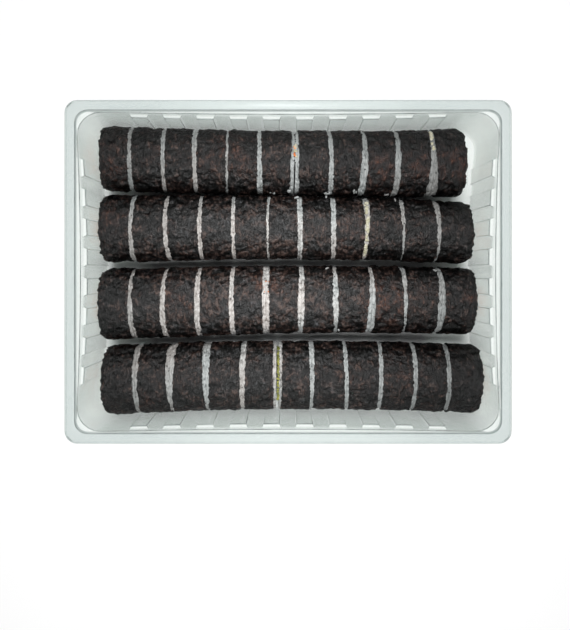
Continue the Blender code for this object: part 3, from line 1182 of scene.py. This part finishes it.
# %% Pieces smeared over the cuts
# cut, kind, pieces, from and to which angle from the top in degrees (back positive), sizes in
# mm, and where across the strip, from 0 at its left edge to 1
SMEARS = (
    ("1_06", "salmon", 5, 4, 22, 1.1, 1.8, (0.3, 0.6)),
    ("1_06", "cream", 7, 2, 26, 1.4, 2.2, (0.3, 0.7)),
    ("1_06", "black", 12, -12, 62, 0.6, 1.1, (0.4, 0.6)),
    ("1_10", "cream", 14, 14, 66, 1.4, 2.4, (0.3, 0.7)),
    ("2_08", "cream", 50, -66, 60, 1.5, 2.6, (0.3, 0.7)),
    ("3_05", "salmon", 6, 14, 46, 0.5, 0.9, (0.2, 0.9)),
    ("3_05", "black", 9, 0, 42, 0.4, 0.8, (0.2, 0.9)),
    ("4_05", "avocado", 54, -40, 66, 1.1, 1.7, (0.52, 0.66)),
)
# the same numbers for the crumbs of nori at every cut
NORI_CRUMBS = (2, -70, 70, 0.4, 0.8, (0.1, 0.9))
SUNK_SHARE = 0.3


def strip_chunks(cut, count, first_angle, last_angle, smallest, largest, across, rng):
    """Chopped pieces that lie on the strip of rice at a cut."""
    roll, number = cut.split("_")
    left_rings, middle = slices[f"roll_{roll}_slice_{number}"]
    right_rings, _ = slices[f"roll_{roll}_slice_{int(number) + 1:02d}"]
    angles = np.radians(90 - rng.uniform(first_angle, last_angle, count))
    left_edge, right_edge = around(left_rings[2], angles), around(right_rings[1], angles)
    places = left_edge + (right_edge - left_edge) * rng.uniform(*across, count)[:, None]
    out = away_from(middle, places)
    scales = rng.uniform(smallest, largest, count) * MM
    places -= out * (IN_THE_OPEN + SUNK_SHARE * scales)[:, None]
    lengthwise = np.cross(out, unit(rng.normal(0, 1, (count, 3))))
    return turned_copies(chunk_points, places, unit(lengthwise), out, scales)


# %% Join the chopped pieces of each kind
row_ends = [(name, face) for name in slice_names for face in INWARD if is_row_end(name, face)]
chopped_pieces = {}
for order, kind in enumerate([*CHOPPED_KINDS, "avocado"]):
    rng = np.random.default_rng(50 + order)
    groups = [face_chunks(name, face, kind, rng) for name, face in row_ends
              if kind in CHOPPED_KINDS]
    groups += [strip_chunks(cut, *numbers, rng)
               for cut, smeared, *numbers in SMEARS if smeared == kind]
    chopped_pieces[kind] = join_copies(f"filling_{kind}", groups, chunk_faces)
rng = np.random.default_rng(60)
groups = [strip_chunks(name[5:7] + name[-2:], *NORI_CRUMBS, rng)
          for name in slice_names if not name.endswith("_11")]
nori_crumbs = join_copies("nori_crumbs", groups, chunk_faces)
finish_piece(nori_crumbs, nori)
print({kind: len(piece.data.polygons) for kind, piece in chopped_pieces.items()})

# %% [markdown]
# The mix is moist, so it shines more than the rice. Its colours are muted: salmon orange, a
# little cream, and small dark bits of herb and seed.

# %% Finishes of the filling
salmon = new_material("chopped_salmon_mix", Roughness=0.33)
salmon_colour = ramp_of(salmon, noise_of(salmon, 3.5, 3.0, 0.6), (0.3, "#B8541F"),
                        (0.5, "#DC7B35"), (0.7, "#E9A063"))
link(salmon, salmon_colour, "Base Color")
link(salmon, bump_of(salmon, noise_of(salmon, 0.9, 3.0), 0.5, 0.3), "Normal")
for piece in [*cores, chopped_pieces["salmon"]]:
    finish_piece(piece, salmon)

# kind: (material, roughness, size of its pattern in mm, the pattern's two colours)
FINISHES = {
    "cream": ("cream_cheese_crumb", 0.45, 2.0, "#ADA98E", "#C9C5B2"),
    "herb": ("chopped_chive", 0.4, 1.5, "#2C4020", "#56703A"),
    "black": ("black_sesame_seed", 0.4, 1.0, "#0E0D0D", "#2A2725"),
    "avocado": ("ripe_avocado", 0.38, 2.5, "#5E6427", "#A8A552"),
}
for kind, (name, roughness, size, dark, pale) in FINISHES.items():
    finish = new_material(name, Roughness=roughness)
    pattern = ramp_of(finish, noise_of(finish, size), (0.35, dark), (0.65, pale))
    link(finish, pattern, "Base Color")
    finish_piece(chopped_pieces[kind], finish)
